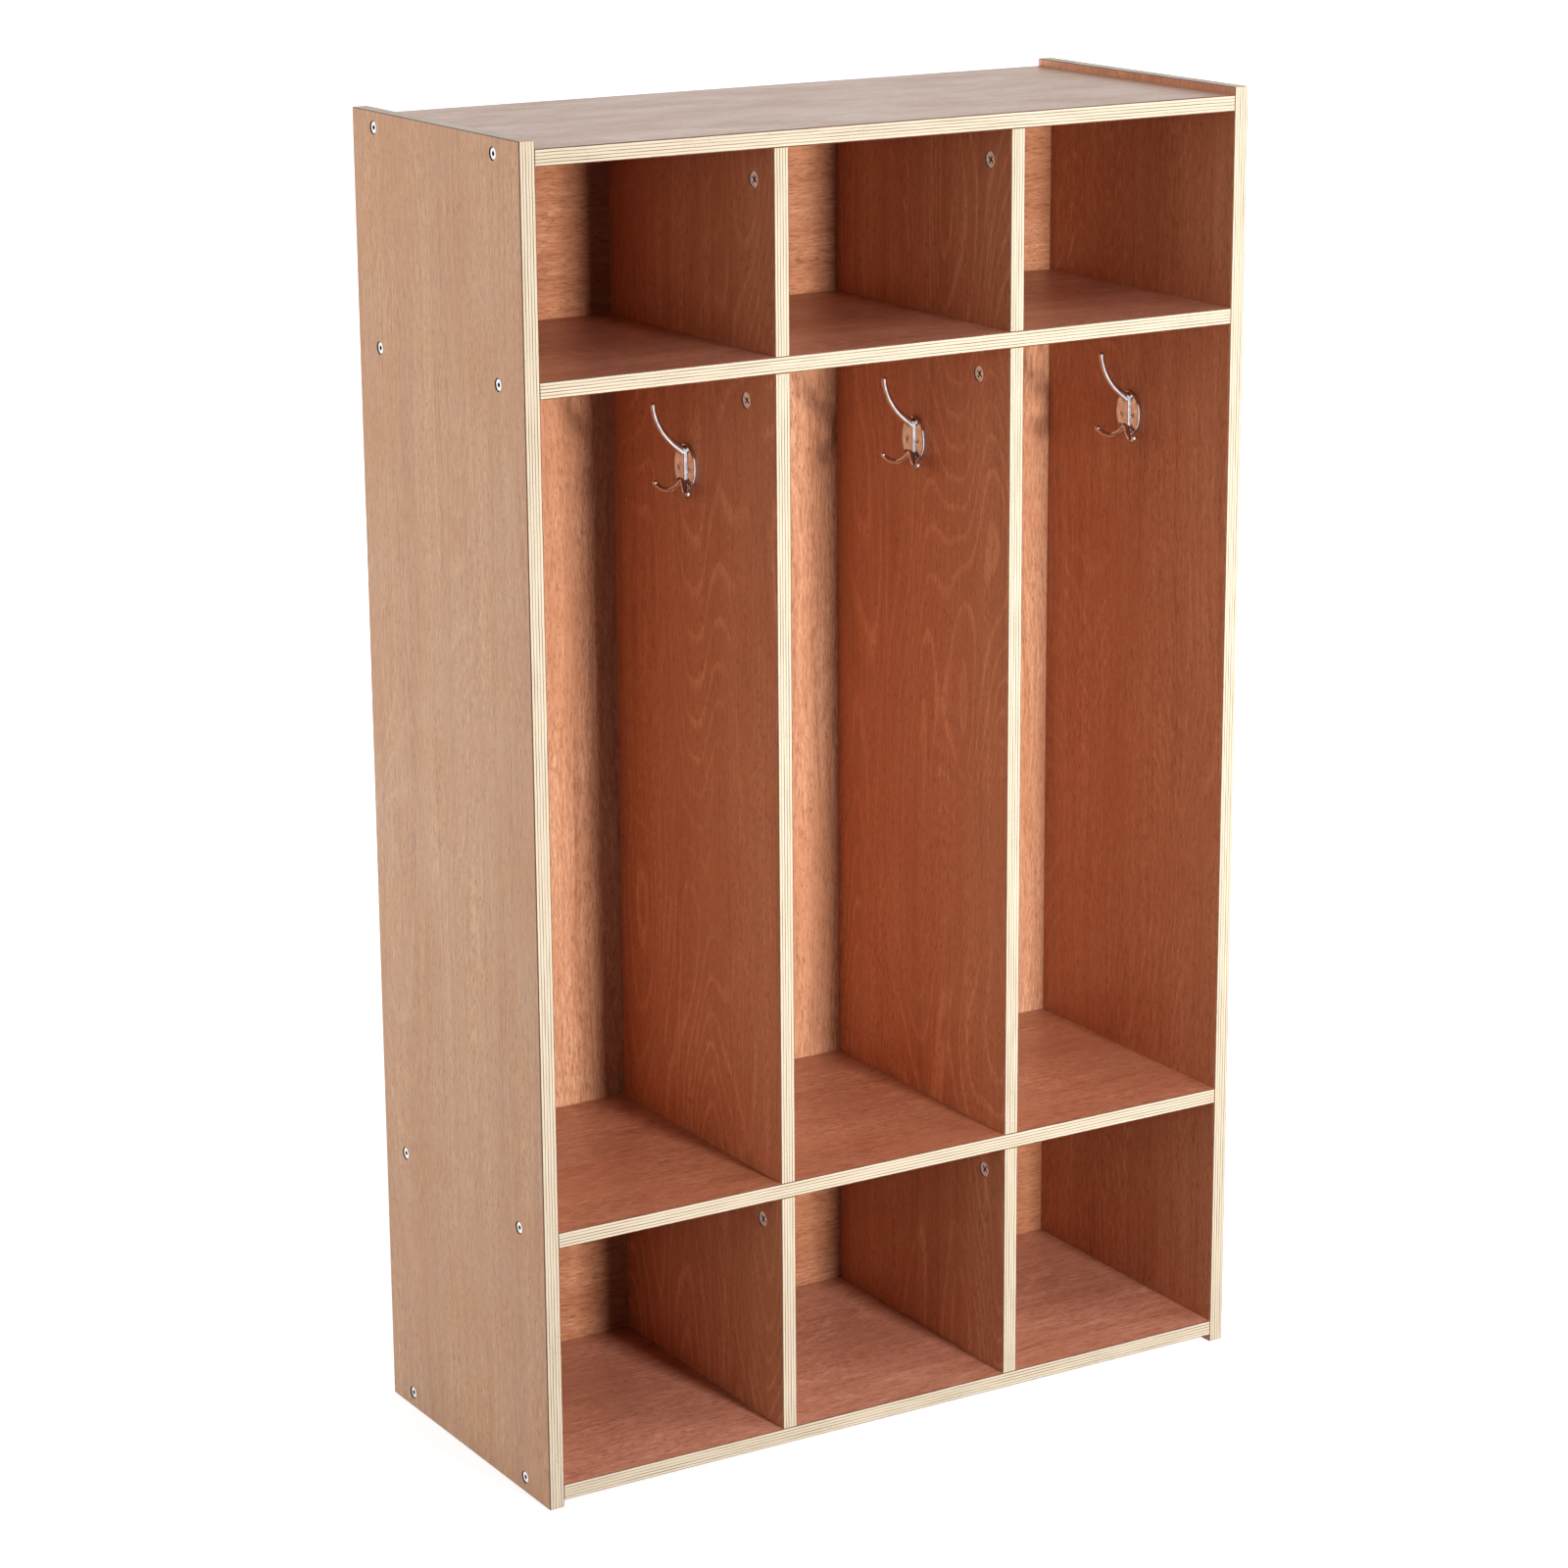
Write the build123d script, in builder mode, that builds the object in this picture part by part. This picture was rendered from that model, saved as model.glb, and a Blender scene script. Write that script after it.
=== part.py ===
"""School coat locker in plywood: three open bays side by side.

Each bay has an upper cubby, a tall coat bay with a triple hook, and a lower cubby.
Units are millimetres. X runs across the bays, Y from the open front to the back, and
Z up from the floor. The origin is on the floor under the middle of the locker.
"""

import os

from build123d import *

# Overall size
WIDTH = 746.0
DEPTH = 314.0
HEIGHT = 1219.0

# Boards
PLY = 15.0  # every board but the back
BACK_PLY = 5.0
SIDE_OVERHANG = 7.0  # how far the sides pass the top and bottom panels
INNER_DEPTH = 291.0  # front edge to the back panel
GROOVE_DEPTH = 6.0
GROOVE_PLAY = 0.2  # on each side of the back panel in its groove
EASED_EDGE = 1.2  # radius on the edges that hands reach

# Tiers, as clear heights; the coat bay takes what is left
UPPER_CUBBY = 179.0
LOWER_CUBBY = 225.0

# Levels of the boards' undersides
BOTTOM_Z = SIDE_OVERHANG
LOWER_SHELF_Z = BOTTOM_Z + PLY + LOWER_CUBBY
TOP_Z = HEIGHT - SIDE_OVERHANG - PLY
UPPER_SHELF_Z = TOP_Z - UPPER_CUBBY - PLY

# Across
SIDE_X = WIDTH / 2 - PLY  # inner face of a side panel
BAY_WIDTH = (WIDTH - 4 * PLY) / 3
DIVIDER_X = (BAY_WIDTH + PLY) / 2  # middle plane of a divider

# Front to back
FRONT_Y = -DEPTH / 2
BACK_Y = FRONT_Y + INNER_DEPTH  # front face of the back panel
GROOVE_Y = (BACK_Y - GROOVE_PLAY, BACK_Y + BACK_PLY + GROOVE_PLAY)
OVERCUT = 1.0  # how far a groove's cut runs past the face that it opens

# Screws through the sides into the level boards
SIDE_SCREW_Y = (FRONT_Y + 47.5, FRONT_Y + 273.0)
SCREW_HEAD_R = 5.0
SCREW_SHANK_R = 3.5
SCREW_LENGTH = 50.0
SCREW_SINK = 0.8  # head below the face
SCREW_CONE = 2.5
SCREW_TIP = 4.0
SCREW_TIP_R = 1.8
SCREW_SEAT_R = 5.9  # the counterbore round the head
HEX_SOCKET = 4.0  # across flats
HEX_DEPTH = 2.4

# Cam locks: a nut in the divider's left face and a bolt up into the board above
CAM_DROP = 30.0  # centre of the nut below that board
CAM_R = 7.45
CAM_BORE_R = 7.5
CAM_SINK = 1.0
CAM_BORE_DEPTH = 12.4
CAM_END = 12.2
CAM_FACE = 2.9  # thickness of the nut's face wall
CAM_CHAMFER = 0.4
CAM_HOLLOW_R = 4.6
CAM_THROW = 1.0  # how far the hollow is off the nut's centre
CAM_SLOT_R = 2.4  # half width of the slot that the bolt's neck runs in
CAM_MOUTH_R = 3.55  # hole that lets the bolt's head in
CAM_Y_CUBBY = FRONT_Y + 34.0
CAM_Y_BAY = FRONT_Y + 50.0
CROSS_LENGTH = 8.6
CROSS_WIDTH = 1.7
CROSS_DEPTH = 1.6
CROSS_TURN = 35.0  # one arm's angle from level; the other stands square to it
POINTER = 1.6  # size of the small dimple that shows which way the nut stands
POINTER_AT = 5.7
POINTER_DEPTH = 0.5

BOLT_HEAD_R = 3.4
BOLT_NECK_R = 2.0
BOLT_SHANK_R = 3.4
BOLT_SHANK = 21.8  # from the board above down to the neck
BOLT_THREAD_R = 2.9
BOLT_THREAD = 10.0
BOLT_COLLAR_R = 4.6
BOLT_COLLAR = 1.4
BOLT_HOLE_R = 3.6

# Dowels
DOWEL_R = 4.0
DOWEL_IN_BOARD = 10.0  # into the face of the top or bottom panel
DOWEL_IN_DIVIDER = 20.0
DOWEL_Y = (FRONT_Y + 82.0, FRONT_Y + 250.0)
FASTENER_PLAY = 0.05
DOWEL_CHAMFER = 0.8
HOLE_SPARE = 0.5  # how much deeper a blind hole is than its fastener

# Coat hooks, measured from the middle of the plate: across it, up, and out from the wall
HOOK_Y = FRONT_Y + 155.0
HOOK_Z = UPPER_SHELF_Z - 105.5
PLATE_WIDTH = 37.0
PLATE_HEIGHT = 43.0
PLATE_THICK = 3.2
PLATE_ROUND = 1.6
RIB_WIDTH = 8.4
RIB_HEIGHT = 36.0
RIB_OUT = 5.2
RIB_ROUND = 1.4
# centre lines as (out, up), and the radius at each point
UPPER_PRONG = ((4.0, 14.6), (9.5, 18.8), (17.5, 25.6), (25.0, 34.6), (31.0, 46.0), (33.8, 58.5))
UPPER_RADII = (4.4, 3.6, 2.9, 2.6, 2.5, 2.5)
UPPER_TIP_R = 2.8
LOWER_PRONG = ((0.5, -12.5), (8.0, -19.4), (16.5, -22.9), (25.0, -22.3), (31.8, -18.4))
LOWER_RADII = (3.4, 2.8, 2.3, 2.3, 2.3)
LOWER_TIP_R = 2.9
LOWER_OUT = 4.0  # where the lower prongs leave the rib
LOWER_SPLAY = 68.0  # degrees that a lower prong turns sideways from straight out
HOOK_SCREW_ACROSS = 8.3
HOOK_SCREW_UP = -1.5
HOOK_SCREW_R = 1.7
HOOK_SCREW_BITE = 11.5  # depth in the wood
HOOK_SCREW_TIP = 3.0
HOOK_SINK_ANGLE = 90.0
HOOK_HEAD_R = 3.4
HOOK_HEAD_CONE = 1.7
HOOK_HEAD_RISE = 0.7
HOOK_CROSS_LENGTH = 3.8
HOOK_CROSS_WIDTH = 0.9
HOOK_CROSS_DEPTH = 1.3
HOOK_CROSS_TURN = 45.0

# The dividers: each tier's name, lower end, upper end and distance back to its cam locks
TIERS = (
    ("upper", UPPER_SHELF_Z + PLY, TOP_Z, CAM_Y_CUBBY),
    ("middle", LOWER_SHELF_Z + PLY, UPPER_SHELF_Z, CAM_Y_BAY),
    ("lower", BOTTOM_Z + PLY, LOWER_SHELF_Z, CAM_Y_CUBBY),
)
COLUMNS = (("left", -DIVIDER_X), ("right", DIVIDER_X))

os.makedirs("parts", exist_ok=True)
written = []


def save(builder, name):
    """Label a finished piece and write its STEP."""
    builder.part.label = name
    export_step(builder.part, f"parts/{name}.step")
    written.append(name)


def board(x, y, z):
    """A plain board between two spans along each axis."""
    with BuildPart() as plain:
        with BuildSketch(Plane.XY.offset(z[0])):
            with Locations(((x[0] + x[1]) / 2, (y[0] + y[1]) / 2)):
                Rectangle(x[1] - x[0], y[1] - y[0])
        extrude(amount=z[1] - z[0])
    return plain.part


def drill(points, direction, radius, depth):
    """Round holes that start at the points and run along the direction."""
    for point in points:
        mouth = Plane(origin=point, z_dir=direction)
        with Locations(mouth):
            Cylinder(radius, depth, align=(Align.CENTER, Align.CENTER, Align.MIN), mode=Mode.SUBTRACT)


def level_middles():
    """Middle height of each level board, top to bottom."""
    return [z + PLY / 2 for z in (TOP_Z, UPPER_SHELF_Z, LOWER_SHELF_Z, BOTTOM_Z)]


def side_screw_points(side):
    """Where the screws enter a side's outer face; side is -1 on the left and 1 on the right."""
    return [(side * WIDTH / 2, y, z) for z in level_middles() for y in SIDE_SCREW_Y]


def hook_screw_points(wall_x):
    """Where a hook's two screws enter the wall that carries it."""
    z = HOOK_Z + HOOK_SCREW_UP
    return [(wall_x, HOOK_Y + across, z) for across in (-HOOK_SCREW_ACROSS, HOOK_SCREW_ACROSS)]


def drill_for_hook(wall_x):
    """Pilot holes for a hook's screws, in a wall that faces left."""
    depth = HOOK_SCREW_BITE + HOLE_SPARE
    drill(hook_screw_points(wall_x), (1, 0, 0), HOOK_SCREW_R + FASTENER_PLAY, depth)


def side_panel(side):
    """A full-height side, grooved for the back panel and drilled for its screws."""
    inner = side * SIDE_X
    outer = side * WIDTH / 2
    with BuildPart() as panel:
        add(board(sorted((inner, outer)), (FRONT_Y, -FRONT_Y), (0, HEIGHT)))
        fillet(panel.edges(), EASED_EDGE)
        # groove for the back panel, on the inner face only
        groove_x = sorted((inner - side * OVERCUT, inner + side * GROOVE_DEPTH))
        groove_z = (BOTTOM_Z + PLY - GROOVE_DEPTH, TOP_Z + GROOVE_DEPTH)
        add(board(groove_x, GROOVE_Y, groove_z), mode=Mode.SUBTRACT)
        inward = (-side, 0, 0)
        drill(side_screw_points(side), inward, SCREW_SEAT_R, SCREW_SINK + SCREW_CONE)
        drill(side_screw_points(side), inward, SCREW_SHANK_R + FASTENER_PLAY, PLY)
        if side > 0:
            drill_for_hook(inner)
    return panel


def level_board(z, depth, dowels_up=0.0, dowels_down=0.0, cam_y=None, groove=None):
    """A board across all three bays, with its screw, dowel and cam bolt holes."""
    with BuildPart() as panel:
        add(board((-SIDE_X, SIDE_X), (FRONT_Y, FRONT_Y + depth), (z, z + PLY)))
        long_edges = panel.edges().filter_by(Axis.X).group_by(Axis.Y)
        reaches_back = depth == DEPTH
        fillet(long_edges[0] + long_edges[-1] if reaches_back else long_edges[0], EASED_EDGE)
        for side in (-1, 1):
            starts = [(side * SIDE_X, y, z + PLY / 2) for y in SIDE_SCREW_Y]
            reach = SCREW_LENGTH + SCREW_SINK - PLY + HOLE_SPARE
            drill(starts, (-side, 0, 0), SCREW_SHANK_R + FASTENER_PLAY, reach)
        hole_r = DOWEL_R + FASTENER_PLAY
        for x in (-DIVIDER_X, DIVIDER_X):
            if dowels_up:
                drill([(x, y, z + PLY) for y in DOWEL_Y], (0, 0, -1), hole_r, dowels_up)
            if dowels_down:
                drill([(x, y, z) for y in DOWEL_Y], (0, 0, 1), hole_r, dowels_down)
            if cam_y is not None:
                thread_depth = BOLT_THREAD + HOLE_SPARE
                drill([(x, cam_y, z)], (0, 0, 1), BOLT_THREAD_R + FASTENER_PLAY, thread_depth)
        if groove is not None:
            groove_x = (-SIDE_X - OVERCUT, SIDE_X + OVERCUT)
            add(board(groove_x, GROOVE_Y, groove), mode=Mode.SUBTRACT)
    return panel


def divider(x, z_low, z_high, cam_y, hook=False):
    """An upright between two level boards, with a cam nut's bore in its left face."""
    left_face = x - PLY / 2
    with BuildPart() as upright:
        add(board((left_face, x + PLY / 2), (FRONT_Y, BACK_Y), (z_low, z_high)))
        front_edges = upright.edges().filter_by(Axis.Z).group_by(Axis.Y)[0]
        fillet(front_edges, EASED_EDGE)
        drill([(left_face, cam_y, z_high - CAM_DROP)], (1, 0, 0), CAM_BORE_R, CAM_BORE_DEPTH)
        drill([(x, cam_y, z_high)], (0, 0, -1), BOLT_HOLE_R, CAM_DROP - CAM_HOLLOW_R)
        drill([(x, cam_y, z_high)], (0, 0, -1), BOLT_COLLAR_R + FASTENER_PLAY, BOLT_COLLAR + FASTENER_PLAY)
        hole_r = DOWEL_R + FASTENER_PLAY
        hole_depth = DOWEL_IN_DIVIDER + HOLE_SPARE
        drill([(x, y, z_high) for y in DOWEL_Y], (0, 0, -1), hole_r, hole_depth)
        drill([(x, y, z_low) for y in DOWEL_Y], (0, 0, 1), hole_r, hole_depth)
        if hook:
            drill_for_hook(left_face)
    return upright


def side_screws(side):
    """Countersunk screws with a hexagon socket; the thread is left as a plain shank."""
    with BuildPart() as screws:
        for x, y, z in side_screw_points(side):
            top = Plane(origin=(x - side * SCREW_SINK, y, z), x_dir=(0, 1, 0), z_dir=(-side, 0, 0))
            profile = Plane(origin=top.origin, x_dir=top.z_dir, z_dir=(0, -side, 0))
            with BuildSketch(profile):
                with BuildLine():
                    Polyline(
                        (0, 0),
                        (0, SCREW_HEAD_R),
                        (SCREW_CONE, SCREW_SHANK_R),
                        (SCREW_LENGTH - SCREW_TIP, SCREW_SHANK_R),
                        (SCREW_LENGTH, SCREW_TIP_R),
                        (SCREW_LENGTH, 0),
                        close=True,
                    )
                make_face()
            revolve(axis=Axis(top.origin, top.z_dir))
            with BuildSketch(top):
                RegularPolygon(HEX_SOCKET / 2, 6, major_radius=False)
            extrude(amount=HEX_DEPTH, mode=Mode.SUBTRACT)
    return screws


def cam_nut(x, y, z):
    """A round nut that turns about X; its face is on the divider's left face.

    The hollow is off centre, so turning the nut draws the bolt's head down. The slot lets
    the bolt's neck pass for half a turn, and ends in a mouth that lets the head out.
    """
    # in these planes x points to the front of the locker and y points down
    middle = Plane(origin=(x, y, z), x_dir=(0, -1, 0), z_dir=(1, 0, 0))
    face = middle.offset(CAM_SINK - PLY / 2)
    with BuildPart() as nut:
        with BuildSketch(face):
            Circle(CAM_R)
        extrude(amount=CAM_END - CAM_SINK)
        chamfer(nut.edges().sort_by(Axis.X)[0], CAM_CHAMFER)
        with BuildSketch(face.offset(CAM_FACE)):
            with Locations((0, CAM_THROW)):
                Circle(CAM_HOLLOW_R)
        extrude(amount=CAM_END, mode=Mode.SUBTRACT)
        # the slot runs from the bolt, at the top, forward and round to the bottom
        with BuildSketch(middle.offset(-CAM_SLOT_R)):
            with BuildLine():
                CenterArc((0, 0), 2 * CAM_R, -90, 180)
                Line((0, -2 * CAM_R), (0, 2 * CAM_R))
            make_face()
        extrude(amount=2 * CAM_SLOT_R, mode=Mode.SUBTRACT)
        drill([(x, y, z)], (0, 0, 1), CAM_SLOT_R, 2 * CAM_R)
        drill([(x, y, z)], (0, 0, -1), CAM_MOUTH_R, 2 * CAM_R)
        # driver's cross, and a dimple that points at the mouth
        with BuildSketch(face):
            for turn in (CROSS_TURN, CROSS_TURN + 90):
                with Locations(Location((0, 0), turn)):
                    Rectangle(CROSS_LENGTH, CROSS_WIDTH)
        extrude(amount=CROSS_DEPTH, mode=Mode.SUBTRACT)
        with BuildSketch(face):
            with Locations((0, POINTER_AT)):
                RegularPolygon(POINTER / 2, 3, rotation=90)
        extrude(amount=POINTER_DEPTH, mode=Mode.SUBTRACT)
    return nut


def cam_bolts(places):
    """Bolts that hang from the boards above, each with its head in a cam nut."""
    with BuildPart() as bolts:
        for x, y, z in places:
            joint_z = z + CAM_DROP
            base = Plane(origin=(x, y, joint_z))
            with BuildSketch(base):
                Circle(BOLT_THREAD_R)
            extrude(amount=BOLT_THREAD)
            with BuildSketch(base):
                Circle(BOLT_COLLAR_R)
            extrude(amount=-BOLT_COLLAR)
            with BuildSketch(base):
                Circle(BOLT_SHANK_R)
            extrude(amount=-BOLT_SHANK)
            with BuildSketch(base):
                Circle(BOLT_NECK_R)
            extrude(amount=-CAM_DROP)
            with Locations((x, y, z)):
                Sphere(BOLT_HEAD_R)
    return bolts


def dowels(spans):
    """Round wooden dowels; each span is a low and a high end."""
    with BuildPart() as pins:
        for low, high in spans:
            for x in (-DIVIDER_X, DIVIDER_X):
                for y in DOWEL_Y:
                    with BuildSketch(Plane(origin=(x, y, low))):
                        Circle(DOWEL_R)
                    extrude(amount=high - low)
        rims = pins.edges().filter_by(GeomType.CIRCLE)
        chamfer(rims, DOWEL_CHAMFER)
    return pins


def coat_hook(wall_x):
    """A cast triple hook on a wall that faces left: one tall prong and two low ones."""
    seat = Plane(origin=(wall_x, HOOK_Y, HOOK_Z), x_dir=(0, -1, 0), z_dir=(-1, 0, 0))
    with BuildPart() as hook:
        with BuildSketch(seat):
            Ellipse(PLATE_WIDTH / 2, PLATE_HEIGHT / 2)
        extrude(amount=PLATE_THICK)
        fillet(hook.edges().sort_by(Axis.X)[0], PLATE_ROUND)
        with BuildSketch(seat):
            SlotOverall(RIB_HEIGHT, RIB_WIDTH, rotation=90)
        extrude(amount=RIB_OUT)
        fillet(hook.faces().sort_by(Axis.X)[0].edges(), RIB_ROUND)
        # a countersink for each screw
        shank_hole = HOOK_SCREW_R + FASTENER_PLAY
        head_hole = HOOK_HEAD_R + FASTENER_PLAY
        for across in (-HOOK_SCREW_ACROSS, HOOK_SCREW_ACROSS):
            mouth = seat.from_local_coords(Vector(across, HOOK_SCREW_UP, PLATE_THICK))
            with Locations(Plane(mouth, z_dir=seat.z_dir)):
                CounterSinkHole(shank_hole, head_hole, PLATE_THICK, HOOK_SINK_ANGLE)
        add(prong(seat, UPPER_PRONG, UPPER_RADII, UPPER_TIP_R, 0.0, 0.0))
        for splay in (-LOWER_SPLAY, LOWER_SPLAY):
            add(prong(seat, LOWER_PRONG, LOWER_RADII, LOWER_TIP_R, splay, LOWER_OUT))
    return hook


def prong(seat, centre_line, radii, tip_radius, splay, out):
    """A tapered prong with a ball tip, in an upright plane turned sideways by the splay."""
    start = seat.offset(out)
    outward = seat.z_dir.rotate(Axis.Z, splay)
    upright = Plane(origin=start.origin, x_dir=outward, z_dir=outward.cross(Vector(0, 0, 1)))
    with BuildPart() as form:
        with BuildLine(upright) as line:
            Spline(*centre_line)
        curve = line.edge()
        for point, radius in zip(centre_line, radii):
            at = upright.from_local_coords(Vector(*point, 0))
            along = curve % curve.param_at_point(at)
            with BuildSketch(Plane(origin=at, x_dir=upright.z_dir, z_dir=along)):
                Circle(radius)
        loft()
        with Locations(upright.from_local_coords(Vector(*centre_line[-1], 0))):
            Sphere(tip_radius)
    return form.part


def hook_screws(walls):
    """Raised countersunk wood screws, two to a hook."""
    with BuildPart() as screws:
        for wall_x in walls:
            for x, y, z in hook_screw_points(wall_x):
                top = Plane(origin=(x - PLATE_THICK, y, z), x_dir=(0, 1, 0), z_dir=(1, 0, 0))
                profile = Plane(origin=top.origin, x_dir=(1, 0, 0), z_dir=(0, -1, 0))
                with BuildSketch(profile):
                    with BuildLine():
                        rise = (-HOOK_HEAD_RISE, 0)
                        rim = (0, HOOK_HEAD_R)
                        TangentArc(rise, rim, tangent=(0, 1))
                        shank_start = (HOOK_HEAD_CONE, HOOK_SCREW_R)
                        shank_end = (PLATE_THICK + HOOK_SCREW_BITE - HOOK_SCREW_TIP, HOOK_SCREW_R)
                        tip = (PLATE_THICK + HOOK_SCREW_BITE, 0)
                        Polyline(rim, shank_start, shank_end, tip, rise)
                    make_face()
                revolve(axis=Axis((x, y, z), (1, 0, 0)))
                with BuildSketch(top.offset(-HOOK_HEAD_RISE)):
                    for turn in (HOOK_CROSS_TURN, HOOK_CROSS_TURN + 90):
                        with Locations(Location((0, 0), turn)):
                            Rectangle(HOOK_CROSS_LENGTH, HOOK_CROSS_WIDTH)
                extrude(amount=HOOK_CROSS_DEPTH, mode=Mode.SUBTRACT)
    return screws


def cam_places():
    """Centre of each cam nut and bolt, named by the divider that holds it."""
    places = {}
    for tier, _, high, cam_y in TIERS:
        for column, x in COLUMNS:
            places[f"{tier}_{column}"] = (x, cam_y, high - CAM_DROP)
    return places


# Boards
save(side_panel(-1), "left_side_panel")
save(side_panel(1), "right_side_panel")
blind_hole = DOWEL_IN_BOARD + HOLE_SPARE
groove = (TOP_Z - OVERCUT, TOP_Z + GROOVE_DEPTH)
top_panel = level_board(TOP_Z, DEPTH, dowels_down=blind_hole, cam_y=CAM_Y_CUBBY, groove=groove)
save(top_panel, "top_panel")
save(level_board(UPPER_SHELF_Z, INNER_DEPTH, dowels_up=PLY, cam_y=CAM_Y_BAY), "upper_shelf")
save(level_board(LOWER_SHELF_Z, INNER_DEPTH, dowels_up=PLY, cam_y=CAM_Y_CUBBY), "lower_shelf")
groove = (BOTTOM_Z + PLY - GROOVE_DEPTH, BOTTOM_Z + PLY + OVERCUT)
bottom_panel = level_board(BOTTOM_Z, DEPTH, dowels_up=blind_hole, groove=groove)
save(bottom_panel, "bottom_panel")

with BuildPart() as back_panel:
    reach = SIDE_X + GROOVE_DEPTH - GROOVE_PLAY
    low = BOTTOM_Z + PLY - GROOVE_DEPTH + GROOVE_PLAY
    high = TOP_Z + GROOVE_DEPTH - GROOVE_PLAY
    add(board((-reach, reach), (BACK_Y, BACK_Y + BACK_PLY), (low, high)))
save(back_panel, "back_panel")

for tier, tier_low, tier_high, cam_y in TIERS:
    for column, x in COLUMNS:
        upright = divider(x, tier_low, tier_high, cam_y, hook=tier == "middle")
        save(upright, f"{tier}_divider_{column}")

# Cam locks
for place, centre in cam_places().items():
    save(cam_nut(*centre), f"cam_nut_{place}")
save(cam_bolts(cam_places().values()), "cam_bolts")

# Screws and dowels
save(side_screws(-1), "side_screws_left")
save(side_screws(1), "side_screws_right")
short_spans = (
    (BOTTOM_Z + PLY - DOWEL_IN_BOARD, BOTTOM_Z + PLY + DOWEL_IN_DIVIDER),
    (TOP_Z - DOWEL_IN_DIVIDER, TOP_Z + DOWEL_IN_BOARD),
)
long_spans = [(z - DOWEL_IN_DIVIDER, z + PLY + DOWEL_IN_DIVIDER) for z in (LOWER_SHELF_Z, UPPER_SHELF_Z)]
save(dowels(short_spans), "short_dowels")
save(dowels(long_spans), "long_dowels")

# Hooks, on the left faces of the middle dividers and of the right side panel
hook_walls = {"left": -DIVIDER_X - PLY / 2, "middle": DIVIDER_X - PLY / 2, "right": SIDE_X}
for place, wall_x in hook_walls.items():
    save(coat_hook(wall_x), f"coat_hook_{place}")
save(hook_screws(hook_walls.values()), "hook_screws")

print(len(written), "nodes")
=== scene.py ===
"""Looks for the school coat locker: open plywood, in three bays with a cubby above and below each.

Metres, in the row frame: X across, the open front towards -Y, Z up, the floor at Z = 0.
The CAD boards and fittings keep their shapes and get procedural materials here.
"""

import math

import bpy
from mathutils import Matrix, Vector


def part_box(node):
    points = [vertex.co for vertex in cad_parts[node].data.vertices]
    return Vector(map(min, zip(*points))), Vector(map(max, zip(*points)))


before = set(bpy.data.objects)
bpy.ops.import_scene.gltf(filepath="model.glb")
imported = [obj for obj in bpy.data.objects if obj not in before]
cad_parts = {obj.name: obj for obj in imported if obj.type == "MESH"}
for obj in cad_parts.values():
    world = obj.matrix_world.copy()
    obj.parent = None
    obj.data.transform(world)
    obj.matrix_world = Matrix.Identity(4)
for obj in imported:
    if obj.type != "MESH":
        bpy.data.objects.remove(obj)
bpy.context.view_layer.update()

MM = 0.001

# Plywood: a thin face veneer each side, and pale core plies parted by thin crossing plies.
FACE_VENEER = 0.95 * MM
CORE_PLY = 1.98 * MM
CROSS_PLY = 0.80 * MM

# Wood colours, linear.
VENEER_DARK = (0.330, 0.134, 0.066, 1)
VENEER_MID = (0.480, 0.214, 0.119, 1)
VENEER_LIGHT = (0.610, 0.318, 0.186, 1)
VENEER_RED = (0.460, 0.190, 0.098, 1)
PORE = (0.170, 0.062, 0.032, 1)
# Near black along each arris: partly the veneer's own darker edge, partly a painted shadow line.
ARRIS_VENEER_AND_SHADOW = (0.050, 0.024, 0.014, 1)
CORE_PALE = (0.354, 0.309, 0.245, 1)
CORE_WARM = (0.299, 0.249, 0.182, 1)
CROSS_TAN = (0.078, 0.050, 0.026, 1)
CORE_SPECK = (0.070, 0.050, 0.035, 1)
BEECH_PALE = (0.640, 0.440, 0.270, 1)
BEECH_DARK = (0.450, 0.270, 0.140, 1)
# Painted shade for the dark recesses of the metal fittings.
RECESS_SHADE = (0.020, 0.014, 0.010, 1)

# What a board's colour is multiplied by: painted light and shade on its veneer in each place,
# lighter, darker or less saturated to match how the lamps fall there (less saturated where it
# stands in for sheen), and END_GRAIN its plies at the high end of the grain.
OUTSIDE = (0.67, 0.78, 0.69)
COAT_FLOOR = (0.71, 0.68, 0.74)
CUBBY_FLOOR = (0.84, 0.86, 1.05)
REAR_WALL = (0.71, 0.83, 0.90)
CUBBY_REAR_WALL = (0.60, 0.63, 0.64)
END_GRAIN = (1.00, 0.82, 0.64)
COAT_BAY = (1.10, 1.13, 1.13)
TOP_FACE = (0.70, 0.88, 1.00)
PLAIN = (1.0, 1.0, 1.0)

# Boards, as (across the grain, along the grain, through the thickness).
UPRIGHT = ("Y", "Z", "X")
LEVEL = ("Y", "X", "Z")
REAR = ("X", "Z", "Y")
REAR_CROSSWISE = ("Z", "X", "Y")

# Each board's seed picks its figure. Shelves and dividers count up from these.
LEFT_SEED, RIGHT_SEED, TOP_SEED, SHELF_SEED, DIVIDER_SEED, BACK_SEED = 1, 2, 3, 4, 7, 13

# Plated metals, as two linear tones that drift into each other.
NICKEL = ((1.00, 0.97, 0.93), (0.86, 0.83, 0.78))
SCREW_STEEL = ((0.86, 0.86, 0.87), (0.66, 0.66, 0.68))
DULL_STEEL = ((0.76, 0.76, 0.77), (0.58, 0.58, 0.60))
CHROME = ((0.74, 0.74, 0.76), (0.56, 0.56, 0.58))


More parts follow.
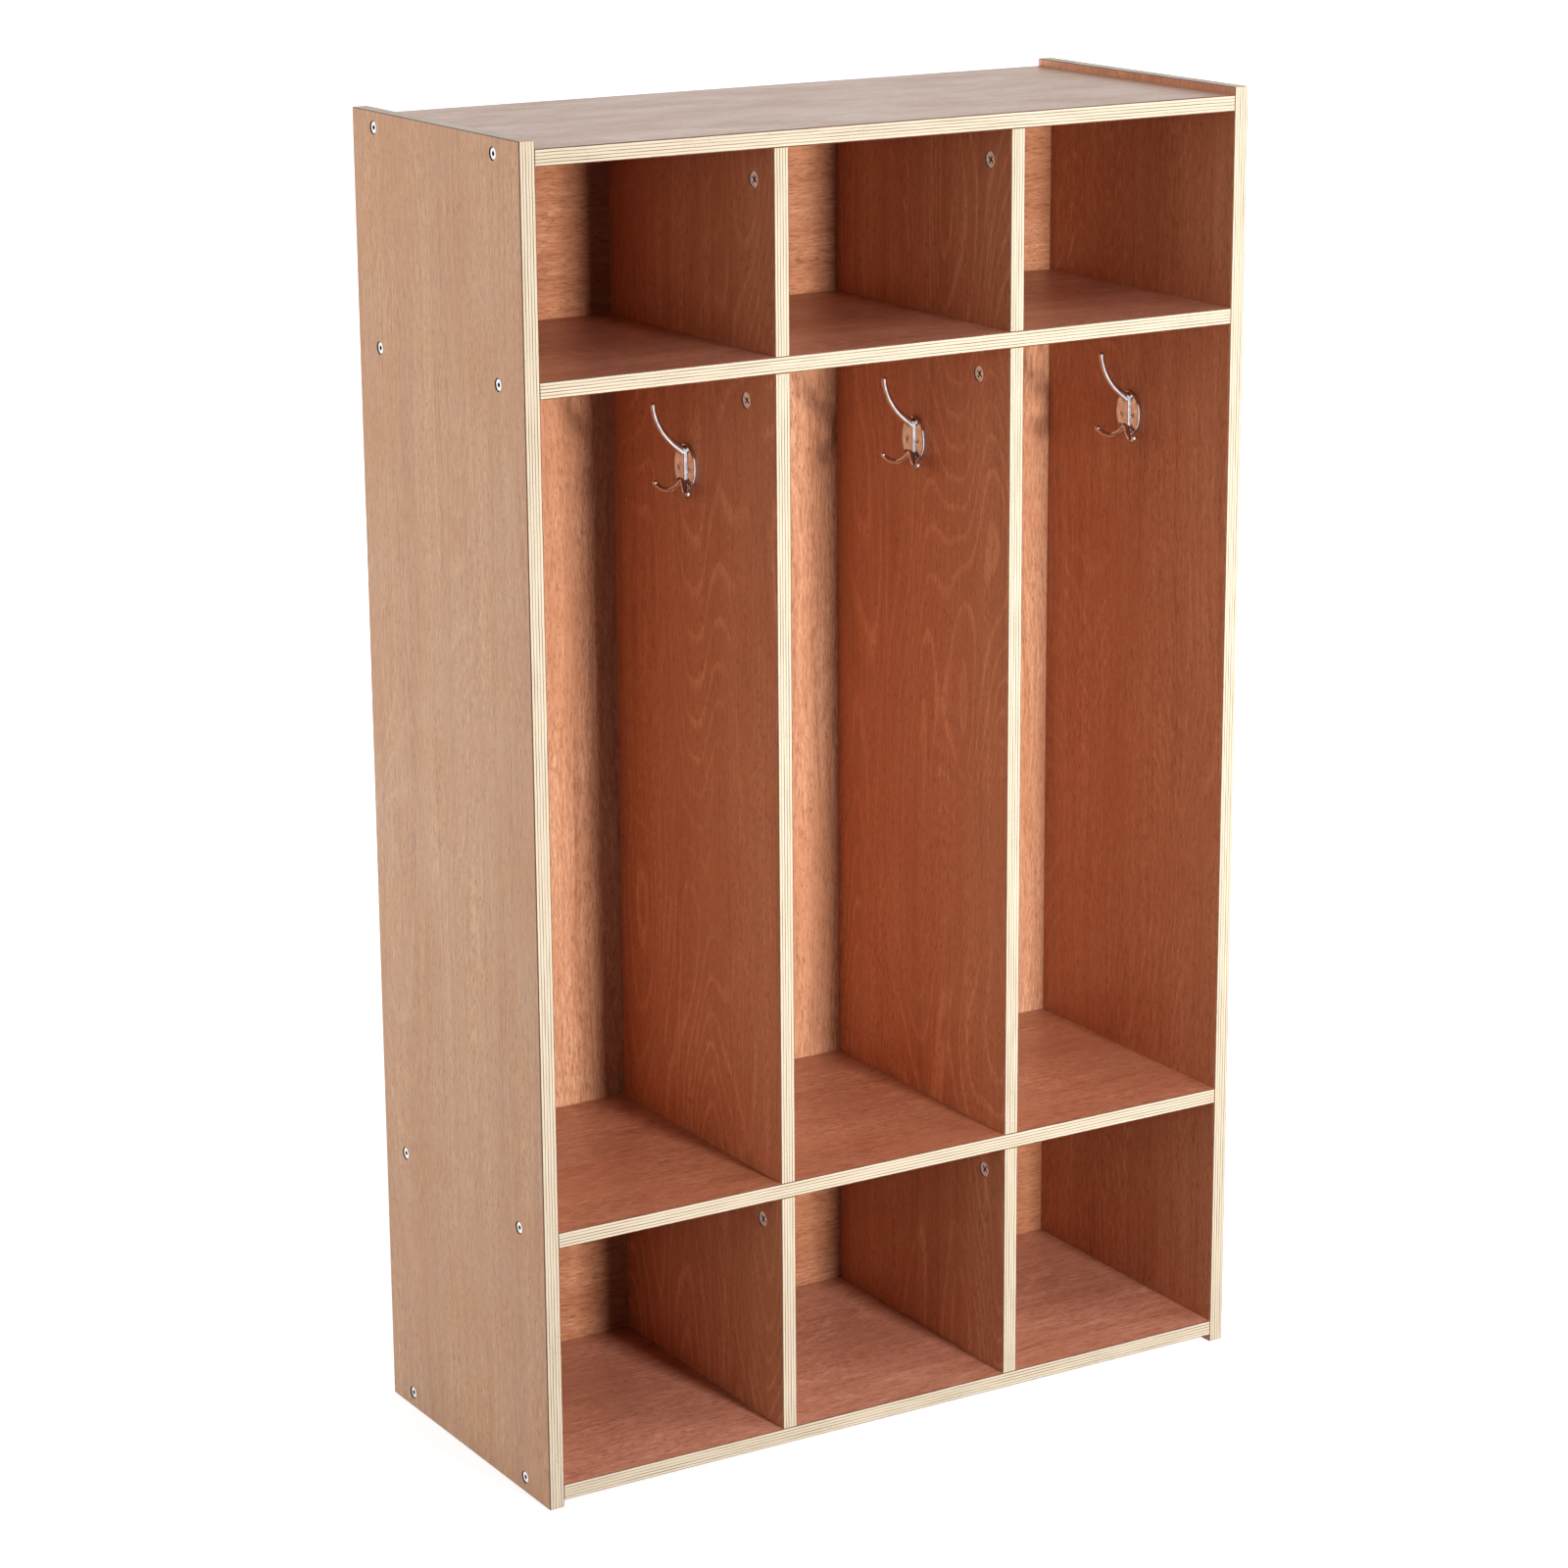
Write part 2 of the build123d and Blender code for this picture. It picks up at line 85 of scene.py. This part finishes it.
class Material:
    """One node material, built with short calls. Places are object coordinates, in metres."""

    def __init__(self, name):
        self.made = bpy.data.materials.new(name)
        self.made.use_nodes = True
        self.nodes = self.made.node_tree.nodes
        self.links = self.made.node_tree.links
        self.shader = self.nodes["Principled BSDF"]

    def put(self, socket, value):
        if isinstance(value, bpy.types.NodeSocket):
            self.links.new(value, socket)
        else:
            socket.default_value = value

    def place(self):
        """Object coordinates, as a vector."""
        return self.nodes.new("ShaderNodeTexCoord").outputs["Object"]

    def axes(self):
        """Object coordinates, as a socket for each of X, Y and Z."""
        node = self.nodes.new("ShaderNodeSeparateXYZ")
        self.put(node.inputs[0], self.place())
        return node.outputs

    def vector(self, x, y, z):
        node = self.nodes.new("ShaderNodeCombineXYZ")
        for socket, value in zip(node.inputs, (x, y, z)):
            self.put(socket, value)
        return node.outputs[0]

    def vector_math(self, operation, a, b):
        node = self.nodes.new("ShaderNodeVectorMath")
        node.operation = operation
        self.put(node.inputs[0], a)
        self.put(node.inputs[1], b)
        return node.outputs[0]

    def math(self, operation, a, b=0.0):
        node = self.nodes.new("ShaderNodeMath")
        node.operation = operation
        self.put(node.inputs[0], a)
        self.put(node.inputs[1], b)
        return node.outputs[0]

    def step(self, value, start, end, low=0.0, high=1.0):
        """A smooth change from low to high as value goes from start to end."""
        node = self.nodes.new("ShaderNodeMapRange")
        node.interpolation_type = "SMOOTHSTEP"
        for socket, number in zip(node.inputs, (value, start, end, low, high)):
            self.put(socket, number)
        return node.outputs[0]

    def mix(self, share, a, b, how="MIX"):
        node = self.nodes.new("ShaderNodeMix")
        node.data_type = "RGBA"
        node.blend_type = how
        self.put(node.inputs[0], share)
        self.put(node.inputs[6], a)
        self.put(node.inputs[7], b)
        return node.outputs[2]

    def noise(self, place, size, detail=2.0, roughness=0.5):
        """Noise whose patches are about size = (x, y, z) metres."""
        node = self.nodes.new("ShaderNodeTexNoise")
        self.put(node.inputs["Vector"], self.vector_math("DIVIDE", place, size))
        node.inputs["Scale"].default_value = 1.0
        node.inputs["Detail"].default_value = detail
        node.inputs["Roughness"].default_value = roughness
        return node.outputs[0]

    def bump(self, height, strength, distance):
        node = self.nodes.new("ShaderNodeBump")
        node.inputs["Strength"].default_value = strength
        node.inputs["Distance"].default_value = distance
        self.put(node.inputs["Height"], height)
        self.put(self.shader.inputs["Normal"], node.outputs[0])

    def set(self, **values):
        """Constants or sockets for the shader, such as roughness=0.3 or coat_weight=0.2."""
        for name, value in values.items():
            self.put(self.shader.inputs[name.replace("_", " ").title()], value)


def grain_place(m, axes, ways, seed):
    """(across, along, through) the board, moved by its seed, so no two boards share a figure."""
    across, along, through = (axes[way] for way in ways)
    shift = (seed * 1.7, seed * 2.3, seed * 0.9)
    return m.vector_math("ADD", m.vector(across, along, through), shift)


def veneer(m, place, figure, fleck):
    """Face veneer: its colour and its height.

    figure is the strength of the flames, and fleck the strength of the short dashes.
    """
    sway, rings, flame_tone, dash_tone, pore_share = 0.030, 30.0, 0.42, 0.26, 0.50
    wave = m.noise(place, (0.050, 0.300, 0.400), 1.0)
    drift = m.vector(m.math("MULTIPLY", m.math("SUBTRACT", wave, 0.5), sway), 0.0, 0.0)
    bent = m.vector_math("ADD", place, drift)

    # Growth rings are the level lines of a slow field. The knife cuts them as nested flames.
    field = m.noise(bent, (0.110, 0.520, 0.060), 1.0, 0.25)
    ring = m.math("FRACT", m.math("MULTIPLY", field, rings))
    line = m.math("SUBTRACT", m.step(ring, 0.58, 0.86), m.step(ring, 0.88, 0.98))
    where = m.step(m.noise(place, (0.100, 0.450, 0.060), 0.0), 0.38, 0.56, 0.20, 1.0)
    flame = m.math("MULTIPLY", line, where)

    streak = m.noise(bent, (0.0032, 0.240, 0.010), 2.0, 0.6)
    band = m.noise(bent, (0.021, 0.620, 0.050), 1.0)
    cloud = m.noise(place, (0.130, 0.200, 0.060), 1.0)
    dash = m.noise(bent, (0.0017, 0.0130, 0.006), 2.0, 0.55)

    tone = m.step(streak, 0.28, 0.72, -0.13, 0.13)
    tone = m.math("ADD", tone, m.step(band, 0.30, 0.70, 0.38, 0.62))
    tone = m.math("ADD", tone, m.math("MULTIPLY", flame, flame_tone * figure))
    dashes = m.step(dash, 0.36, 0.64, -dash_tone, dash_tone)
    tone = m.math("ADD", tone, m.math("MULTIPLY", dashes, fleck))
    colour = m.mix(m.step(tone, 0.05, 0.55), VENEER_DARK, VENEER_MID)
    colour = m.mix(m.step(tone, 0.50, 1.05), colour, VENEER_LIGHT)
    colour = m.mix(m.step(cloud, 0.42, 0.70, 0.0, 0.45), colour, VENEER_RED)

    # Pores are short dark dashes along the grain, thicker in some streaks.
    pore = m.noise(bent, (0.00070, 0.0065, 0.004), 1.0)
    crowd = m.step(band, 0.35, 0.65, 0.0, 0.04)
    pore = m.step(m.math("ADD", pore, crowd), 0.585, 0.680)
    colour = m.mix(m.math("MULTIPLY", pore, pore_share), colour, PORE)
    height = m.math("SUBTRACT", m.math("MULTIPLY", streak, 0.6), pore)
    return colour, height


def plies(m, place, depth):
    """The cut edge at a depth below the face: pale plies, tan crossing plies, specks and voids."""
    wander, speck_share = 0.7 * MM, 0.65
    wobble = m.noise(place, (0.030, 0.030, 1.0), 1.0)
    depth = m.math("ADD", depth, m.math("MULTIPLY", m.math("SUBTRACT", wobble, 0.5), wander))
    turn = m.math("DIVIDE", m.math("SUBTRACT", depth, FACE_VENEER), CORE_PLY + CROSS_PLY)
    part = m.math("FRACT", m.math("ADD", turn, 1.0))
    share = CORE_PLY / (CORE_PLY + CROSS_PLY)
    cross = m.math("SUBTRACT", m.step(part, share - 0.05, share + 0.04), m.step(part, 0.94, 1.0))

    fibre = m.noise(place, (0.045, 0.045, 0.00045), 2.0, 0.6)
    colour = m.mix(m.step(fibre, 0.30, 0.72), CORE_WARM, CORE_PALE)
    # The crossing plies show more in some places than in others.
    strength = m.step(m.noise(place, (0.070, 0.070, 0.0025), 1.0), 0.35, 0.65, 0.50, 0.95)
    colour = m.mix(m.math("MULTIPLY", cross, strength), colour, CROSS_TAN)

    crowd = m.step(m.noise(place, (0.055, 0.055, 0.5), 1.0), 0.45, 0.65, 0.0, 0.07)
    speck = m.math("ADD", m.noise(place, (0.00075, 0.00075, 0.0006), 1.0), crowd)
    speck = m.math("ADD", speck, m.math("MULTIPLY", cross, 0.05))
    speck = m.step(speck, 0.70, 0.76)
    colour = m.mix(m.math("MULTIPLY", speck, speck_share), colour, CORE_SPECK)
    return colour, m.math("SUBTRACT", m.math("MULTIPLY", fibre, 0.5), speck)


def rear_grain(m, axes, seed):
    """The rear board's front face runs upright behind the coats and crosswise behind the cubbies.

    The change hides behind the shelves, and the rear face is upright all over.
    """
    low, middle = (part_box("lower_shelf")[end].z for end in (0, 1))
    upper, high = (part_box("upper_shelf")[end].z for end in (0, 1))
    front, back = (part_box("back_panel")[end].y for end in (0, 1))
    coats = m.math("MULTIPLY", m.step(axes["Z"], low, middle), m.step(axes["Z"], high, upper))
    crosswise = m.math("MULTIPLY", m.math("SUBTRACT", 1.0, coats), m.step(axes["Y"], back, front))
    upright_place = grain_place(m, axes, REAR, seed)
    crosswise_place = grain_place(m, axes, REAR_CROSSWISE, seed)
    return m.mix(crosswise, upright_place, crosswise_place), crosswise


def plywood(board, ways, seed, figure, fleck=0.35, low_painted_shading=PLAIN, high_painted_shading=PLAIN, gloss=0.22):
    """Lacquered plywood for one board: veneer on its faces, and plies wherever it is cut through.

    The low and high shading arguments are painted light and shade for the two faces, at the low
    and high end of the axis through it.
    """
    arris_from, arris_to, arris_share = 0.02 * MM, 0.12 * MM, 0.90
    cut_blur, relief = 0.10 * MM, 0.10 * MM
    m = Material(f"plywood_{board}")
    axes = m.axes()
    place = grain_place(m, axes, ways, seed)
    low_painted_shading, high_painted_shading = (*low_painted_shading, 1), (*high_painted_shading, 1)
    if ways == REAR:
        place, crosswise = rear_grain(m, axes, seed)
        # Painted shade: the rear wall is darker behind the cubbies.
        low_painted_shading = m.mix(crosswise, low_painted_shading, (*CUBBY_REAR_WALL, 1))
    low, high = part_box(board)
    through = "XYZ".index(ways[2])
    from_low = m.math("SUBTRACT", axes[ways[2]], low[through])
    from_high = m.math("SUBTRACT", high[through], axes[ways[2]])
    depth = m.math("MINIMUM", from_low, from_high)

    face, face_height = veneer(m, place, figure, fleck)
    edge, edge_height = plies(m, place, from_low)
    top = high["XYZ".index(ways[1])]
    end = m.step(axes[ways[1]], top - 1.0 * MM, top - 0.2 * MM)
    edge = m.mix(end, edge, (*END_GRAIN, 1), "MULTIPLY")
    # Painted light and shade: each face's veneer is made lighter, darker or less saturated as the
    # lamps fall on it.
    painted_shading = m.mix(m.step(m.math("SUBTRACT", from_low, from_high), -MM, MM), low_painted_shading, high_painted_shading)
    face = m.mix(1.0, face, painted_shading, "MULTIPLY")
    # The veneer where a cut shows it goes near black: partly its own darker edge, partly a painted
    # shadow line along the arris.
    arris = m.step(depth, arris_from, arris_to, 0.0, arris_share)
    face = m.mix(arris, face, ARRIS_VENEER_AND_SHADOW)
    cut = m.step(depth, FACE_VENEER - cut_blur, FACE_VENEER + cut_blur)
    colour = m.mix(cut, face, edge)
    height = m.math("ADD", m.math("MULTIPLY", face_height, m.math("SUBTRACT", 1.0, cut)),
                    m.math("MULTIPLY", edge_height, cut))
    rub = m.noise(place, (0.045, 0.110, 0.050), 3.0, 0.6)
    m.set(base_color=colour, roughness=m.step(rub, 0.30, 0.72, 0.36, 0.50))
    m.set(coat_weight=gloss, coat_roughness=0.24)
    m.bump(height, 0.30, relief)
    return m.made


def beech(name):
    """Turned beech for the dowels, with its short flecks."""
    m = Material(name)
    place = m.place()
    fibre = m.noise(place, (0.0008, 0.0008, 0.020), 2.0, 0.6)
    fleck = m.step(m.noise(place, (0.0006, 0.0006, 0.003), 1.0), 0.60, 0.68)
    colour = m.mix(m.step(fibre, 0.30, 0.70), BEECH_PALE, BEECH_DARK)
    m.set(base_color=m.mix(m.math("MULTIPLY", fleck, 0.5), colour, BEECH_DARK), roughness=0.62)
    m.bump(fibre, 0.25, 0.08 * MM)
    return m.made


def metal(name, tones, smooth, rough, grain, relief, metallic=1.0, sunk=None):
    """Plated metal: two tones and a roughness that drift together, and a fine surface grain.

    sunk is (axis, outer face, inward) for a fitting whose recesses are darkened with painted
    shade.
    """
    bright, dull = tones
    m = Material(name)
    place = m.place()
    cloud = m.noise(place, (0.006, 0.006, 0.006), 3.0, 0.6)
    fine = m.noise(place, (grain, grain, grain), 2.0, 0.6)
    share = m.step(cloud, 0.32, 0.70)
    colour = m.mix(share, (*bright, 1), (*dull, 1))
    if sunk:
        axis, face, inward = sunk
        depth = m.math("MULTIPLY", m.math("SUBTRACT", m.axes()[axis], face), inward)
        # Painted shade: the recesses go darker with depth below the outer face.
        colour = m.mix(m.step(depth, 0.10 * MM, 0.60 * MM), colour, RECESS_SHADE)
    roughness = m.step(cloud, 0.32, 0.70, smooth, rough)
    m.set(base_color=colour, metallic=metallic, roughness=roughness)
    m.bump(fine, relief, 0.05 * MM)
    return m.made


def dress(node, material):
    """Gives a CAD node its material."""
    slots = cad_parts[node].data.materials
    slots.clear()
    slots.append(material)


def dress_boards():
    left, right, top = "left_side_panel", "right_side_panel", "top_panel"
    # The factors given to the faces here are painted light and shade, matched to how the lamps
    # fall on each face.
    dress(left, plywood(left, UPRIGHT, LEFT_SEED, figure=0.4, fleck=0.6, low_painted_shading=OUTSIDE))
    dress(right, plywood(right, UPRIGHT, RIGHT_SEED, figure=0.5, fleck=0.6, high_painted_shading=OUTSIDE))
    dress(top, plywood(top, LEVEL, TOP_SEED, figure=0.5, fleck=0.6, high_painted_shading=TOP_FACE,
                       gloss=0.26))
    for number, board in enumerate(("upper_shelf", "lower_shelf", "bottom_panel")):
        # Painted light and shade on the floors: the coat bay's floor is darker than the cubbies'.
        painted_shading = COAT_FLOOR if board == "lower_shelf" else CUBBY_FLOOR
        seed = SHELF_SEED + number
        dress(board, plywood(board, LEVEL, seed, figure=0.5, fleck=0.8, high_painted_shading=painted_shading))
    for number, tier in enumerate(("upper", "middle", "lower")):
        for side, column in enumerate(("left", "right")):
            board = f"{tier}_divider_{column}"
            # Painted light: the coat bay's dividers are lighter than the cubbies'.
            painted_shading = COAT_BAY if tier == "middle" else PLAIN
            seed = DIVIDER_SEED + 2 * number + side
            wood = plywood(board, UPRIGHT, seed, figure=0.85, low_painted_shading=painted_shading, high_painted_shading=painted_shading)
            dress(board, wood)
    dress("back_panel", plywood("back_panel", REAR, BACK_SEED, figure=0.3, fleck=0.75,
                                low_painted_shading=REAR_WALL, high_painted_shading=OUTSIDE))


def cam_nickel(node, sunk):
    """Satin nickel on cast zinc."""
    return metal(f"nickel_{node}", NICKEL, smooth=0.26, rough=0.40, grain=0.6 * MM,
                 relief=0.25, metallic=0.20, sunk=sunk)


def screw_steel(node, sunk):
    """Bright steel for the heads that show in the sides."""
    return metal(f"steel_{node}", SCREW_STEEL, smooth=0.20, rough=0.32, grain=0.4 * MM,
                 relief=0.20, metallic=0.80, sunk=sunk)


def dress_fittings():
    wood = beech("beech_dowel")
    steel = metal("bright_steel", DULL_STEEL, smooth=0.22, rough=0.36, grain=0.4 * MM, relief=0.20)
    chrome = metal("polished_chrome", CHROME, smooth=0.05, rough=0.11, grain=1.5 * MM, relief=0.05)
    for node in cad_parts:
        low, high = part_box(node)
        if node.startswith("cam_nut"):
            dress(node, cam_nickel(node, ("X", low.x, 1)))
        elif node == "side_screws_left":
            dress(node, screw_steel(node, ("X", low.x, 1)))
        elif node == "side_screws_right":
            dress(node, screw_steel(node, ("X", high.x, -1)))
        elif node.endswith("dowels"):
            dress(node, wood)
        elif node.startswith("coat_hook"):
            dress(node, chrome)
        elif node in ("cam_bolts", "hook_screws"):
            dress(node, steel)


def pale_floor():
    """A plain pale floor that reaches past every view."""
    reach = 60.0
    glow_from, glow_to = 0.8, 4.0
    mesh = bpy.data.meshes.new("studio_floor")
    corners = [(-reach, -reach, 0), (reach, -reach, 0), (reach, reach, 0), (-reach, reach, 0)]
    mesh.from_pydata(corners, [], [(0, 1, 2, 3)])
    floor = bpy.data.objects.new("studio_floor", mesh)
    bpy.context.scene.collection.objects.link(floor)
    m = Material("studio_floor")
    axes = m.axes()
    cloud = m.noise(m.place(), (0.6, 0.6, 0.6), 2.0)
    square = m.math("ADD", m.math("POWER", axes["X"], 2.0), m.math("POWER", axes["Y"], 2.0))
    level = m.step(m.math("SQRT", square), glow_from, glow_to, 0.55, 0.95)
    bounce = m.nodes.new("ShaderNodeLightPath").outputs["Is Diffuse Ray"]
    glow = m.math("MULTIPLY", m.math("SUBTRACT", 1.0, bounce), level)
    m.set(base_color=m.mix(cloud, (0.38, 0.38, 0.38, 1), (0.42, 0.42, 0.42, 1)), roughness=0.8)
    m.set(emission_color=(1, 1, 1, 1), emission_strength=glow)
    mesh.materials.append(m.made)


def softbox(name, place, target, width, height, power, spread=180):
    """An area lamp aimed at target, which lights surfaces without showing in their gloss."""
    data = bpy.data.lights.new(name, "AREA")
    data.shape = "RECTANGLE"
    data.size = width
    data.size_y = height
    data.energy = power
    data.spread = math.radians(spread)
    lamp = bpy.data.objects.new(name, data)
    lamp.location = place
    lamp.rotation_euler = (Vector(target) - Vector(place)).to_track_quat("-Z", "Y").to_euler()
    lamp.visible_camera = False
    lamp.visible_glossy = False
    bpy.context.scene.collection.objects.link(lamp)


def surroundings():
    """A pale surround that shows behind the object and in its gloss, and adds little light."""
    shown, diffuse = 1.0, 0.07
    world = bpy.data.worlds.new("surround")
    bpy.context.scene.world = world
    world.use_nodes = True
    nodes, links = world.node_tree.nodes, world.node_tree.links
    shade = nodes["Background"]
    shade.inputs["Color"].default_value = (1.0, 1.0, 1.0, 1)
    path = nodes.new("ShaderNodeLightPath")
    level = nodes.new("ShaderNodeMapRange")
    level.inputs["To Min"].default_value = shown
    level.inputs["To Max"].default_value = diffuse
    links.new(path.outputs["Is Diffuse Ray"], level.inputs["Value"])
    links.new(level.outputs[0], shade.inputs["Strength"])


def studio_light():
    """A small key light almost straight in front, and soft fills all round.

    The side fills stand behind the plane of the front edges, so only the key, the top fill and
    the two front fills reach into the bays.
    """
    middle, key_target = (0, 0, 0.62), (0.15, 0, 0.62)
    left_side, right_side = (-0.37, 0, 0.6), (0.37, 0, 0.6)
    softbox("key", (0.34, -3.60, 1.25), key_target, 0.46, 0.60, power=34, spread=66)
    softbox("left_front_fill", (-3.00, -1.50, 1.30), middle, 1.8, 1.8, power=18)
    softbox("front_fill", (2.50, -2.25, 1.20), middle, 2.2, 2.2, power=86)
    softbox("top_fill", (0, -1.40, 3.10), middle, 1.6, 1.2, power=16)
    softbox("left_fill", (-2.50, 1.30, 1.30), left_side, 2.4, 2.4, power=76)
    softbox("right_fill", (2.50, 1.30, 1.30), right_side, 2.4, 2.4, power=50)
    softbox("rear_fill", (0.60, 3.90, 1.45), middle, 4.0, 2.4, power=90)
    surroundings()


def photo_camera():
    """Looks down on the locker from its front left, as fitted to the photograph."""
    place = (-2.0117, -3.2870, 1.6362)
    yaw, pitch, roll = (math.radians(angle) for angle in (31.10, 15.29, -0.41))
    data = bpy.data.cameras.new("camera")
    data.sensor_width = 36
    data.lens = 98.46
    camera = bpy.data.objects.new("camera", data)
    turn = Matrix.Rotation(-yaw, 4, "Z") @ Matrix.Rotation(math.pi / 2 - pitch, 4, "X")
    turn = turn @ Matrix.Rotation(roll, 4, "Z")
    camera.matrix_world = Matrix.Translation(place) @ turn
    bpy.context.scene.collection.objects.link(camera)
    bpy.context.scene.camera = camera


photo_camera()
dress_boards()
dress_fittings()
pale_floor()
studio_light()
bpy.context.scene.view_settings.view_transform = "Standard"
bpy.context.scene.view_settings.look = "Medium High Contrast"
